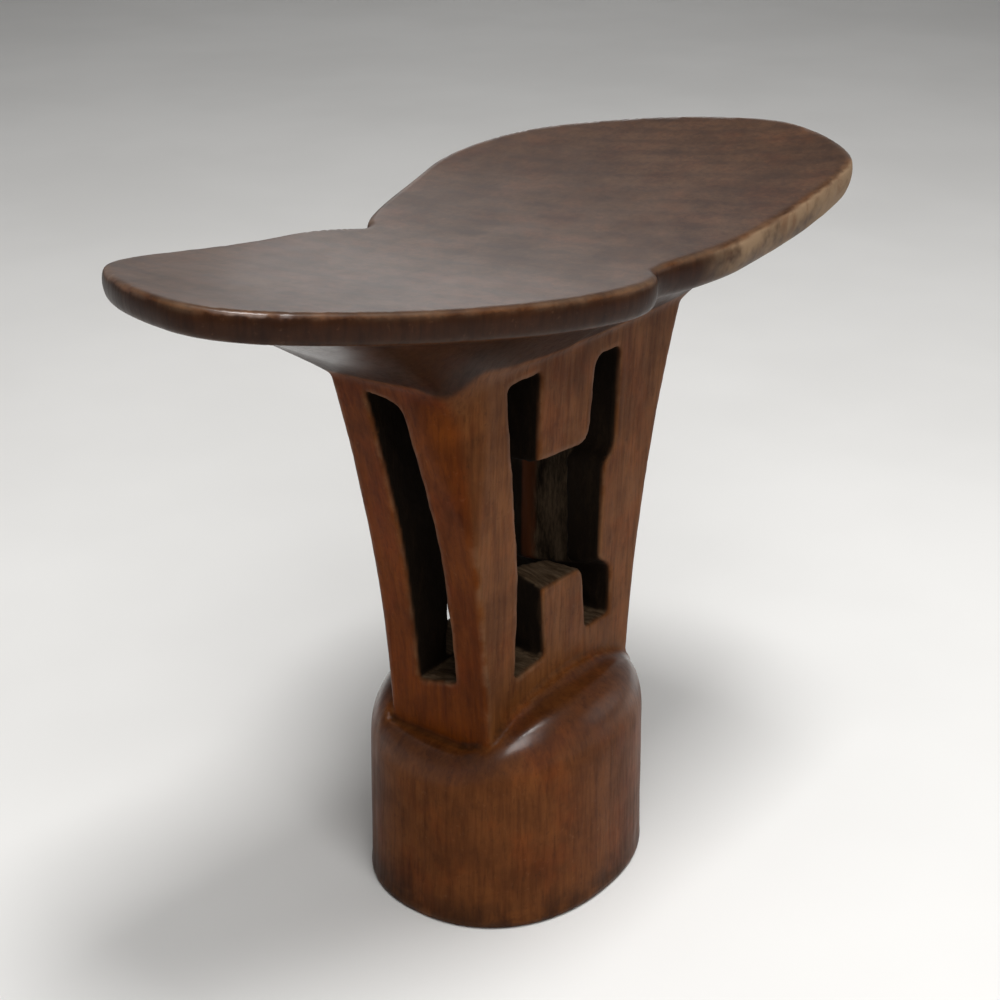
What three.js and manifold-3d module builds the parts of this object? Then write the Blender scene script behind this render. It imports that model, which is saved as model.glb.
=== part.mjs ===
// A carved wooden headrest, all one piece of wood, in millimetres with +Z up.
// The origin is the centre of the flat underside. +X is the long way of the plate.
// From the bottom: a domed base, a pierced post that widens upwards, and a dished plate with two lobes.
import * as THREE from "three";
import Module from "manifold-3d";

// Base: a nearly upright wall on a rounded oval plan.
const BASE_HALF_X = 40.2;
const BASE_HALF_Y = 34.2;
const BASE_SHIFT = [-1.8, 0.1]; // the carved base sits a little off the middle of the post
const BASE_POWER = 2.2; // 2 would be an ellipse, more is squarer
const BASE_TAPER = 0.02; // share by which the wall draws in on its way up
const BASE_EDGE = 1.2; // worn rounding of the bottom edge
const SHELF_Z = 49.6; // height at which the shoulder meets the narrow faces and the corners of the post
const ARCH_RISE = 10.1; // extra height of the shoulder in the middle of each broad face
const ARCH_POWER = 0.62;
const SHOULDER_DROP = 13; // height of the rounded shoulder over its wall on the narrow faces
const SHOULDER_DROP_ARCH = 6; // added to that drop in the middle of each broad face
const SHOULDER_POWER = 2.5;

// Post: a rectangular section that flares upwards with hollow sides.
const POST_BOTTOM_Z = 40;
const POST_TOP_Z = 156;
const FOOT_Z = 49.5;
const NECK_Z = 150;
const POST_X = [31.8, 48.7, 11.4]; // half width at the foot, at the neck, and the depth of the hollow
const POST_Y = [16.3, 18.9, 2];
const POST_CORNER = 1.4; // corner radius
const POST_CORNER_NECK = 6; // radius under the plate at the near left and far right corners

// Plate: a dished board, valley along Y, with a rounded rim and a hollow underside.
const VALLEY_Z = 176;
const DISH = 0.0009; // rise of the top per square millimetre of distance from the middle
const RIM = 8.6; // thickness of the rim in the middle
const RIM_GROWTH = 0.016; // growth of that thickness along X
const RIM_BULGE = 1.3; // how far the rim swells out past its upper edge
const COVE_Z = 152.8; // height at which the hollow underside meets the post
const COVE_START = 20; // angle in degrees from upright at which the underside leaves the broad faces
const COVE_START_END = 52; // the same on the narrow faces and at the corners

// Upper edge of the rim, as cubic curves from the near notch anticlockwise: two handles and an end each.
const LOBE_START = [-4.5, -42];
const RIGHT_LOBE = [
  [[4, -39.5], [14, -46], [32, -46.1]],
  [[52, -46.2], [75, -46.5], [88, -44.2]],
  [[97, -42.6], [108.5, -22], [107.3, -10]],
  [[106.3, 4], [97.5, 26], [82.5, 43.8]],
  [[72, 56.5], [52, 61], [36, 55.8]],
  [[18, 49.8], [-6, 41.5], [-13, 35]],
];
const LEFT_LOBE = [
  [[-14.5, 32.5], [-17.5, 31.5], [-19.5, 33.5]],
  [[-24, 38.5], [-30, 41], [-38, 41.4]],
  [[-60, 42.4], [-84, 51.6], [-95.3, 39.5]],
  [[-102.9, 30.6], [-106.6, 20.5], [-108.2, 9.1]],
  [[-109.2, 2.4], [-107.7, -5.8], [-93.4, -14.2]],
  [[-72.6, -26.3], [-23, -49.8], [-8.5, -45.2]],
  [[-6, -44.5], [-5.2, -43], [-4.5, -42]],
];

// Openings. Heights of the floors, the tongues and the tops of the cuts.
const CUT_FLOOR = 68.5;
const CUT_TOP = 148;
const TONGUE_LOW_TOP = 89;
const TONGUE_HIGH_BOTTOM = 123.5;
const CHANNEL_FLOOR = 66.2;
const CHANNEL_TOP = 147;
const CHANNEL_END = 17.9; // where the slot from the left stops
const RECESS_END = 26; // where the matching recess from the right stops
const FAR_TONGUE_LEFT = -6.1; // left side of the low tongue at the back
const CUT_REACH = 140; // the cutters run well past both sides

const wasm = await Module();
wasm.setup();

// One closed solid from rings of points, ordered from the lower middle out, up and in again.
function loft(rings, below, above) {
  const count = rings[0].length;
  const points = [below, ...rings.flat(), above];
  const faces = [];
  const at = (ring, k) => 1 + ring * count + (k % count);
  const last = rings.length - 1;
  for (let k = 0; k < count; k++) {
    faces.push(0, at(0, k + 1), at(0, k));
    faces.push(points.length - 1, at(last, k), at(last, k + 1));
    for (let r = 0; r < last; r++) {
      faces.push(at(r, k), at(r, k + 1), at(r + 1, k + 1));
      faces.push(at(r, k), at(r + 1, k + 1), at(r + 1, k));
    }
  }
  return new wasm.Manifold(
    new wasm.Mesh({
      numProp: 3,
      vertProperties: new Float32Array(points.flat()),
      triVerts: new Uint32Array(faces),
    }),
  );
}

const mix = (a, b, t) => a + (b - a) * t;
const ease = (t) => {
  const c = Math.min(1, Math.max(0, t));
  return c * c * (3 - 2 * c);
};

// Half width of the post at height z: straight from foot to neck, less a hollow.
function half([foot, neck, hollow], z) {
  const t = (z - FOOT_Z) / (NECK_Z - FOOT_Z);
  return mix(foot, neck, t) - hollow * t * (1 - t);
}

// Distance from the axis to the post's flat sides, in the direction of angle a.
function postReach(a, z) {
  const acrossX = half(POST_X, z) / Math.max(1e-9, Math.abs(Math.cos(a)));
  const acrossY = half(POST_Y, z) / Math.max(1e-9, Math.abs(Math.sin(a)));
  return Math.min(acrossX, acrossY);
}

// One section of the post: a rectangle with rounded corners.
function postRing(z) {
  const hx = half(POST_X, z);
  const hy = half(POST_Y, z);
  const worn = mix(POST_CORNER, POST_CORNER_NECK, ease((z - 100) / (NECK_Z - 100)));
  const steps = 4;
  const ring = [];
  for (const [sx, sy, from] of [[1, 1, 0], [-1, 1, 90], [-1, -1, 180], [1, -1, 270]]) {
    const r = sx * sy > 0 ? worn : POST_CORNER;
    for (let i = 0; i <= steps; i++) {
      const a = ((from + (90 * i) / steps) * Math.PI) / 180;
      ring.push([sx * (hx - r) + r * Math.cos(a), sy * (hy - r) + r * Math.sin(a), z]);
    }
  }
  return ring;
}

function post() {
  const rings = [];
  for (let i = 0; i <= 13; i++) rings.push(postRing(mix(POST_BOTTOM_Z, POST_TOP_Z, i / 13)));
  return loft(rings, [0, 0, POST_BOTTOM_Z], [0, 0, POST_TOP_Z]);
}

// Distance from the post's axis to the base's wall in the direction of angle a, found by stepping
// outwards until the point lies on the shifted oval.
function baseReach(a) {
  let r = BASE_HALF_Y;
  for (let i = 0; i < 40; i++) {
    const x = Math.abs((r * Math.cos(a) - BASE_SHIFT[0]) / BASE_HALF_X) ** BASE_POWER;
    const y = Math.abs((r * Math.sin(a) - BASE_SHIFT[1]) / BASE_HALF_Y) ** BASE_POWER;
    r *= (x + y) ** (-0.5 / BASE_POWER);
  }
  return r;
}

// Share of the arch's rise where the direction a leaves the post: 1 in the middle of a broad face.
function archShare(a) {
  const x = Math.abs(postReach(a, FOOT_Z) * Math.cos(a)) / POST_X[0];
  return Math.max(0, 1 - x * x) ** ARCH_POWER;
}

function base() {
  const count = 96;
  const angles = Array.from({ length: count }, (_, k) => (k / count) * 2 * Math.PI);
  const ringOf = (reach, height) => angles.map((a) => {
    const r = reach(a);
    return [r * Math.cos(a), r * Math.sin(a), height(a)];
  });
  const inner = (a) => postReach(a, FOOT_Z) - 1.3; // just inside the post, so that the two solids cross
  const join = (a) => SHELF_Z + ARCH_RISE * archShare(a);
  const wallTop = (a) => join(a) - SHOULDER_DROP - SHOULDER_DROP_ARCH * archShare(a);
  const wall = (a, up) => baseReach(a) * (1 - BASE_TAPER * up);
  const rings = [
    ringOf((a) => wall(a, 0) - BASE_EDGE, () => 0),
    ringOf((a) => wall(a, 0), () => BASE_EDGE),
    ringOf((a) => wall(a, 0.5), (a) => 0.5 * wallTop(a)),
  ];
  const steps = 7;
  for (let i = 0; i <= steps; i++) {
    // i runs from the wall (share 1) to the post (share 0) on a rounded-square quarter.
    const q = (i / steps) * (Math.PI / 2);
    const out = Math.cos(q) ** (2 / SHOULDER_POWER);
    const up = Math.sin(q) ** (2 / SHOULDER_POWER);
    rings.push(ringOf(
      (a) => mix(inner(a), wall(a, 1), out),
      (a) => mix(wallTop(a), join(a), up),
    ));
  }
  rings.push(ringOf((a) => 0.6 * inner(a), join));
  return loft(rings, [0, 0, 0], [0, 0, SHELF_Z + ARCH_RISE]);
}

// The rim's upper edge as points [x, y].
function rimEdge() {
  const path = new THREE.CurvePath();
  let from = new THREE.Vector2(...LOBE_START);
  for (const [h1, h2, end] of [...RIGHT_LOBE, ...LEFT_LOBE]) {
    const to = new THREE.Vector2(...end);
    path.add(new THREE.CubicBezierCurve(from, new THREE.Vector2(...h1), new THREE.Vector2(...h2), to));
    from = to;
  }
  const edge = [];
  for (const curve of path.curves) {
    const steps = Math.min(14, Math.max(4, Math.round(curve.getLength() / 3.6)));
    for (let i = 0; i < steps; i++) {
      const p = curve.getPoint(i / steps);
      edge.push([p.x, p.y]);
    }
  }
  return edge;
}

const topZ = (x) => VALLEY_Z + DISH * x * x;
const rimThickness = (x) => RIM + RIM_GROWTH * x;

function plate() {
  const edge = rimEdge().map(([x, y]) => ({ x, y, r: Math.hypot(x, y), a: Math.atan2(y, x) }));
  // A ring at the rim: moved out by d, and down by drop times the rim's thickness.
  const rimRing = (d, drop) => edge.map(({ x, r, a }) => {
    const px = (r + d) * Math.cos(a);
    return [px, (r + d) * Math.sin(a), topZ(x) - drop * rimThickness(x)];
  });
  const topRing = (share) => edge.map(({ x, y }) => [x * share, y * share, topZ(x * share)]);
  // The hollow underside: a quarter ellipse from the post out to the rim, less its first few degrees.
  const coveRing = (t) => edge.map(({ x, r, a }) => {
    const endShare = Math.abs((postReach(a, COVE_Z) * Math.cos(a)) / half(POST_X, COVE_Z)) ** 4;
    const start = (mix(COVE_START, COVE_START_END, endShare) * Math.PI) / 180;
    const q = mix(start, Math.PI / 2, t);
    const out = (Math.cos(start) - Math.cos(q)) / Math.cos(start);
    const up = (Math.sin(q) - Math.sin(start)) / (1 - Math.sin(start));
    const reach = mix(postReach(a, COVE_Z) - 1.1, r - 2.2, out); // starts just inside the post
    const rimBottom = topZ(x) - rimThickness(x);
    return [reach * Math.cos(a), reach * Math.sin(a), mix(COVE_Z - 1.5, rimBottom, up)];
  });
  const inside = edge.map(({ a }) => {
    const r = 0.8 * postReach(a, COVE_Z);
    return [r * Math.cos(a), r * Math.sin(a), COVE_Z - 5.2];
  });
  const rings = [
    inside,
    ...[0, 0.17, 0.33, 0.5, 0.72, 1].map(coveRing),
    rimRing(-0.6, 0.9),
    rimRing(RIM_BULGE * 0.8, 0.7),
    rimRing(RIM_BULGE, 0.45),
    rimRing(RIM_BULGE * 0.7, 0.2),
    rimRing(0, 0.03),
    topRing(0.95),
    topRing(0.7),
    topRing(0.4),
  ];
  return loft(rings, [0, 0, COVE_Z - 5.2], [0, 0, VALLEY_Z]);
}

// A closed outline with its corners rounded: each corner is [across, up, radius].
function rounded(corners) {
  const shape = new THREE.Shape();
  corners.forEach(([u, v, r], i) => {
    const [pu, pv] = corners[(i + corners.length - 1) % corners.length];
    const [nu, nv] = corners[(i + 1) % corners.length];
    const back = Math.hypot(pu - u, pv - v);
    const on = Math.hypot(nu - u, nv - v);
    const inX = u + ((pu - u) * r) / back;
    const inY = v + ((pv - v) * r) / back;
    if (i === 0) shape.moveTo(inX, inY);
    else shape.lineTo(inX, inY);
    if (r > 0) shape.quadraticCurveTo(u, v, u + ((nu - u) * r) / on, v + ((nv - v) * r) / on);
  });
  return shape;
}

// A prism of the outline, which is drawn across and up, run along Y or along X between two places.
function cutter(corners, along, from = -CUT_REACH, to = CUT_REACH) {
  const outline = rounded(corners).getPoints(3).map((p) => [p.x, p.y]);
  const clean = outline.filter(([u, v], i) => {
    const [pu, pv] = outline[(i + outline.length - 1) % outline.length];
    return Math.hypot(u - pu, v - pv) > 1e-3;
  });
  if (THREE.ShapeUtils.area(clean.map(([x, y]) => ({ x, y }))) < 0) clean.reverse();
  const solid = new THREE.ExtrudeGeometry(new THREE.Shape(clean.map((p) => new THREE.Vector2(...p))), {
    depth: to - from,
    bevelEnabled: false,
  });
  // Lay the prism along -Y with its outline upright, and then turn it to the wanted direction.
  solid.translate(0, 0, along === "x" ? from : -to);
  solid.rotateX(Math.PI / 2);
  if (along === "x") solid.rotateZ(Math.PI / 2);
  return asManifold(solid);
}

function asManifold(geometry) {
  const flat = geometry.index ? geometry.toNonIndexed() : geometry;
  const position = flat.getAttribute("position");
  const seen = new Map();
  const points = [];
  const faces = [];
  for (let i = 0; i < position.count; i++) {
    const p = [position.getX(i), position.getY(i), position.getZ(i)];
    const key = p.map((v) => Math.round(v * 1e4)).join(",");
    if (!seen.has(key)) {
      seen.set(key, points.length);
      points.push(p);
    }
    faces.push(seen.get(key));
  }
  return new wasm.Manifold(
    new wasm.Mesh({
      numProp: 3,
      vertProperties: new Float32Array(points.flat()),
      triVerts: new Uint32Array(faces),
    }),
  );
}

// Two upright slots joined by a band form a letter H that runs through the broad faces.
const hOpening = cutter([
  [-20.6, CUT_FLOOR - 1, 1.5],
  [-8.3, CUT_FLOOR, 1.2],
  [-10.4, TONGUE_LOW_TOP - 0.5, 1],
  [8.6, TONGUE_LOW_TOP - 1, 4],
  [10.8, CUT_FLOOR + 0.5, 1.5],
  [21.5, CUT_FLOOR + 0.5, 1.5],
  [21.5, 83, 3],
  [15.7, 87, 2],
  [15.7, 114.5, 2],
  [20.3, 117.5, 3],
  [20.3, CUT_TOP - 2.5, 2.5],
  [9.5, CUT_TOP - 2.5, 3],
  [8.1, TONGUE_HIGH_BOTTOM - 0.5, 5],
  [-14.5, TONGUE_HIGH_BOTTOM + 1.5, 1],
  [-14.5, CUT_TOP + 0.5, 1.5],
  [-27.8, CUT_TOP + 0.5, 2],
  [-24.6, 127, 6],
  [-21, 103, 8],
  [-20, 91, 4],
], "y");

// The outline of the tall slot in a narrow face, which leans a little at its top.
const slot = [
  [-5.9, CHANNEL_FLOOR + 1.7, 1],
  [5.8, CHANNEL_FLOOR - 0.8, 1],
  [5.85, 107, 8],
  [7.4, 130, 8],
  [8.2, CHANNEL_TOP + 0.6, 1],
  [-1.8, CHANNEL_TOP - 0.4, 4],
  [-5.6, 109, 10],
];
// From the left the slot runs in to the middle and ends on a web; from the right it is a blind recess.
const channel = cutter(slot, "x", -CUT_REACH, CHANNEL_END);
const recess = cutter(slot, "x", RECESS_END, CUT_REACH);
// On the far broad face the low left slot is a little wider.
const farWidening = cutter([
  [-19.5, CUT_FLOOR + 0.3, 1],
  [FAR_TONGUE_LEFT, CUT_FLOOR + 0.4, 1],
  [FAR_TONGUE_LEFT - 1.5, TONGUE_LOW_TOP + 3, 1],
  [-19.5, TONGUE_LOW_TOP + 3, 1],
], "y", 1, CUT_REACH);

const solid = plate().add(post()).add(base())
  .subtract(hOpening)
  .subtract(channel)
  .subtract(recess)
  .subtract(farWidening);

const built = solid.getMesh();
const geometry = new THREE.BufferGeometry();
geometry.setAttribute("position", new THREE.BufferAttribute(new Float32Array(built.vertProperties), 3));
geometry.setIndex(new THREE.BufferAttribute(new Uint32Array(built.triVerts), 1));
geometry.computeVertexNormals();

const wood = new THREE.MeshStandardMaterial({ color: 0x6b3a22, roughness: 0.42, metalness: 0 });
const headrest = new THREE.Mesh(geometry, wood);
headrest.name = "headrest";

const part = new THREE.Group();
part.name = "carved_headrest";
part.add(headrest);

export default part;
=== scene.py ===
"""A carved wooden headrest on a plain pale floor.

The whole object is one piece of wood. Its surface is the place where a distance field is zero: a base, a
flared post and a dished plate are joined softly, and the openings are taken away. The field is worked out
with numpy on a grid, turned into one net of four-sided faces, and the points of the net are then moved
onto the field. Sizes are in millimetres inside the shape classes and in metres in Blender.
"""

import logging
from dataclasses import dataclass, field
from enum import Enum
from math import cos, sin

import bpy
import numpy as np
from mathutils import Matrix, Vector


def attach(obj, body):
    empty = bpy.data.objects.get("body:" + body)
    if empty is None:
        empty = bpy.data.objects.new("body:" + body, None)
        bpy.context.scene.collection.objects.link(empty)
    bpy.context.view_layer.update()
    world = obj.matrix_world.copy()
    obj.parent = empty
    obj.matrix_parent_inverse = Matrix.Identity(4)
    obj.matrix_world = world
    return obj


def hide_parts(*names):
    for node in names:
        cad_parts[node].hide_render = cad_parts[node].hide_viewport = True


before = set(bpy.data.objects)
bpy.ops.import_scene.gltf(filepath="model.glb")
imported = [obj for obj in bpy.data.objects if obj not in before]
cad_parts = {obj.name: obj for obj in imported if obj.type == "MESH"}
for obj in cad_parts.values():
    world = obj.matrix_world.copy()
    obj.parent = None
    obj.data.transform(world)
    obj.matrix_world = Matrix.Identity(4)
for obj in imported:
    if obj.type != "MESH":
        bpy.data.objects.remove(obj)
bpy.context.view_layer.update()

Array = np.ndarray
Triple = tuple[float, float, float]
Colour = tuple[float, float, float]
Socket = bpy.types.NodeSocket
MM = 0.001
LOG = logging.getLogger("headrest")


# Small helpers for fields


def mix(a: Array | float, b: Array | float, t: Array | float) -> Array | float:
    """Return the value a share t of the way from a to b."""
    return a + (b - a) * t


def ease(t: Array) -> Array:
    """Return t held between 0 and 1 with level ends: 3t squared less 2t cubed."""
    c = np.clip(t, 0.0, 1.0)
    return c * c * (3.0 - 2.0 * c)


def smooth_max(a: Array, b: Array, k: Array | float) -> Array:
    """Return the larger of two fields with the crease rounded.

    The rounding adds k/4 times the square of the share by which the fields are closer than k.

    Args:
        a: First field.
        b: Second field.
        k: Width of the rounded zone in millimetres.

    Returns:
        The blended field.
    """
    h = np.clip(k - np.abs(a - b), 0.0, None) / k
    return np.maximum(a, b) + 0.25 * k * h * h


def smooth_min(a: Array, b: Array, k: Array | float) -> Array:
    """Return the smaller of two fields with the crease filled over a width k."""
    return -smooth_max(-a, -b, k)


def bell(t: Array, middle: float, width: float) -> Array:
    """Return a bump of height 1 round middle: exp of minus the squared distance in widths."""
    return np.exp(-(((t - middle) / width) ** 2))


def lattice(ix: Array, iy: Array, iz: Array, seed: int) -> Array:
    """Return a fixed number from 0 to 1 for each whole-number point, by mixing the bits of ix, iy and iz."""
    h = (
        ix.astype(np.int64) * 374761393
        + iy.astype(np.int64) * 668265263
        + iz.astype(np.int64) * 962287747
        + seed * 1274126177
    ) & 0xFFFFFFFF
    h = ((h ^ (h >> 13)) * 1274126177) & 0xFFFFFFFF
    h = ((h ^ (h >> 15)) * 2246822519) & 0xFFFFFFFF
    return ((h ^ (h >> 16)) & 0xFFFFFFFF) / 4294967295.0


def value_noise(x: Array, y: Array, z: Array, seed: int) -> Array:
    """Return smooth noise from -1 to 1: eased blends of the eight lattice numbers round each point."""
    ix, iy, iz = np.floor(x), np.floor(y), np.floor(z)
    fx, fy, fz = ease(x - ix), ease(y - iy), ease(z - iz)
    total = np.zeros_like(x)
    for dx in (0, 1):
        for dy in (0, 1):
            for dz in (0, 1):
                weight = (fx if dx else 1 - fx) * (fy if dy else 1 - fy) * (fz if dz else 1 - fz)
                total = total + weight * lattice(ix + dx, iy + dy, iz + dz, seed)
    return 2.0 * total - 1.0


def scallops(x: Array, y: Array, z: Array, seed: int) -> Array:
    """Return the pattern a gouge leaves: shallow bowls with sharp ridges between them.

    Each lattice cell holds one centre. The value is the squared distance to the nearest centre, so it is 0
    in the middle of a bowl and largest along the ridges.

    Args:
        x, y, z: Coordinates divided by the size of one stroke in each direction.
        seed: Picks another set of centres.

    Returns:
        Values from 0 to about 1.
    """
    ix, iy, iz = np.floor(x), np.floor(y), np.floor(z)
    best = np.full_like(x, 9.0)
    for dx in (-1, 0, 1):
        for dy in (-1, 0, 1):
            for dz in (-1, 0, 1):
                cx, cy, cz = ix + dx, iy + dy, iz + dz
                ox = cx + 0.15 + 0.7 * lattice(cx, cy, cz, seed) - x
                oy = cy + 0.15 + 0.7 * lattice(cx, cy, cz, seed + 1) - y
                oz = cz + 0.15 + 0.7 * lattice(cx, cy, cz, seed + 2) - z
                best = np.minimum(best, ox * ox + oy * oy + oz * oz)
    return best


# The shapes of the headrest


@dataclass
class Post:
    """The flared post: a rectangular section with hollow sides.

    Attributes:
        foot_z, neck_z: Heights at which the half widths are given.
        half_x: Half width along X at the foot and at the neck, and four times the depth of the hollow
            between them.
        half_y: The same along Y.
        corner: Corner radius of the two crisp corners, and of all four low down.
        corner_neck: Radius of the near left and far right corners under the plate.
        worn_from, worn_over: Height at which those two start to round off, and over what height they do.
        change: How far x times y runs while one corner radius turns into the other.
        span: Heights between which the section changes. Beyond them it stays the same.
        ends: Heights at which the post stops, inside the base and inside the plate.
        powers: How squarely the sides meet at the crisp corners and at the worn ones, in reach.
    """

    foot_z: float = 49.5
    neck_z: float = 150.0
    half_x: tuple[float, float, float] = (31.8, 48.7, 11.4)
    half_y: tuple[float, float, float] = (16.3, 18.9, 2.0)
    corner: float = 1.5
    corner_neck: float = 14.0
    worn_from: float = 104.0
    worn_over: float = 50.0
    change: float = 60.0
    span: tuple[float, float] = (30.0, 160.0)
    ends: tuple[float, float] = (40.0, 156.0)
    powers: tuple[float, float] = (40.0, 6.0)

    def half(self, sizes: tuple[float, float, float], z: Array | float) -> Array | float:
        """Return the half width at height z: a straight taper less a parabola."""
        t = (z - self.foot_z) / (self.neck_z - self.foot_z)
        return mix(sizes[0], sizes[1], t) - sizes[2] * t * (1.0 - t)

    def reach(self, angle: Array, z: float) -> Array:
        """Return the distance from the axis to the sides in the direction of an angle.

        It is 1 over the joint size of cosine over half width and sine over half depth, where two sizes are
        joined by adding their powers and taking the root. The lower power rounds the worn corners.
        """
        n = mix(*self.powers, ease(0.5 + 0.75 * np.sin(2.0 * angle)))
        wide = np.abs(np.cos(angle)) / self.half(self.half_x, z)
        deep = np.abs(np.sin(angle)) / self.half(self.half_y, z)
        most = np.maximum(wide, deep)
        return 1.0 / (most * (1.0 + (np.minimum(wide, deep) / most) ** n) ** (1.0 / n))

    def distance(self, x: Array, y: Array, z: Array) -> Array:
        """Return the field of the post: at each height, the level distance to a rounded rectangle."""
        at = np.clip(z, *self.span)
        worn = mix(self.corner, self.corner_neck, ease((at - self.worn_from) / self.worn_over))
        r = mix(self.corner, worn, ease(0.5 + x * y / self.change))
        qx = np.abs(x) - (self.half(self.half_x, at) - r)
        qy = np.abs(y) - (self.half(self.half_y, at) - r)
        outside = np.hypot(np.maximum(qx, 0.0), np.maximum(qy, 0.0))
        section = outside + np.minimum(np.maximum(qx, qy), 0.0) - r
        return np.maximum(section, np.maximum(z - self.ends[1], self.ends[0] - z))


@dataclass
class Base:
    """The domed foot under the post.

    Attributes:
        half_x, half_y: Half sizes of the oval plan.
        shift: Where the middle of the oval lies.
        power: 2 would be an ellipse, more is squarer.
        taper: Share by which the wall draws in towards its top.
        edge: Roundness of the worn lower edge.
        shelf_z: Height at which the shoulder meets the narrow faces of the post.
        arch_rise, arch_power: Extra height in the middle of each broad face, and how full the arch is.
        drop, drop_arch: Height of the rounded shoulder over the wall, and what the arch adds to it.
        shoulder_power: 2 would be an elliptical shoulder, more is squarer.
        lip, dip: Height, distance from the post and width of the worn lip along the arch, and of the
            shallow dip outside it.
        table: Directions, and the distance from the post's axis to the wall in each.
    """

    post: Post
    half_x: float = 40.2
    half_y: float = 34.2
    shift: tuple[float, float] = (-1.8, 0.1)
    power: float = 2.2
    taper: float = 0.02
    edge: float = 1.6
    shelf_z: float = 49.6
    arch_rise: float = 10.1
    arch_power: float = 0.62
    drop: float = 13.0
    drop_arch: float = 6.0
    shoulder_power: float = 2.5
    lip: Triple = (0.9, 1.0, 1.2)
    dip: Triple = (0.6, 5.0, 2.4)
    table: tuple[Array, Array] = field(init=False)

    def __post_init__(self) -> None:
        """Tabulate the distance from the post's axis to the shifted oval for each direction."""
        angle = np.linspace(-np.pi, np.pi, 721)
        r = np.full_like(angle, self.half_y)
        for _ in range(60):
            u = np.abs((r * np.cos(angle) - self.shift[0]) / self.half_x) ** self.power
            v = np.abs((r * np.sin(angle) - self.shift[1]) / self.half_y) ** self.power
            r = r * (u + v) ** (-0.5 / self.power)
        self.table = (angle, r)

    def distance(self, x: Array, y: Array, z: Array) -> Array:
        """Return the field of the base.

        Out from the post the share u runs from 0 at the post to 1 at the wall, and up the shoulder the share
        v runs from 0 at the top of the wall to 1 where it meets the post. The shoulder is u and v to the
        shoulder power summing to 1. The field is how far the root of that sum is from 1, divided by its
        slope.
        """
        angle = np.arctan2(y, x)
        r = np.hypot(x, y)
        inner = self.post.reach(angle, self.post.foot_z)
        across = np.abs(inner * np.cos(angle)) / self.post.half_x[0]
        arch = np.maximum(0.0, 1.0 - across * across) ** self.arch_power
        join = self.shelf_z + self.arch_rise * arch
        top = join - self.drop - self.drop_arch * arch
        up = np.clip(z / top, 0.0, 1.0)
        wall = np.interp(angle, *self.table) * (1.0 - self.taper * up)
        u = np.maximum((r - inner) / (wall - inner), 0.0)
        v = np.maximum((z - top) / (join - top), 0.0)
        n = self.shoulder_power
        share = np.maximum((u**n + v**n) ** (1.0 / n), 1e-6)
        slope_out = (u / share) ** (n - 1.0) / (wall - inner)
        slope_up = (v / share) ** (n - 1.0) / (join - top)
        shoulder = (share - 1.0) / np.maximum(np.hypot(slope_out, slope_up), 0.02)
        lip, dip = (size[0] * bell(r - inner, size[1], size[2]) for size in (self.lip, self.dip))
        return smooth_max(shoulder - arch * (lip - dip), -z, self.edge)


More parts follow.
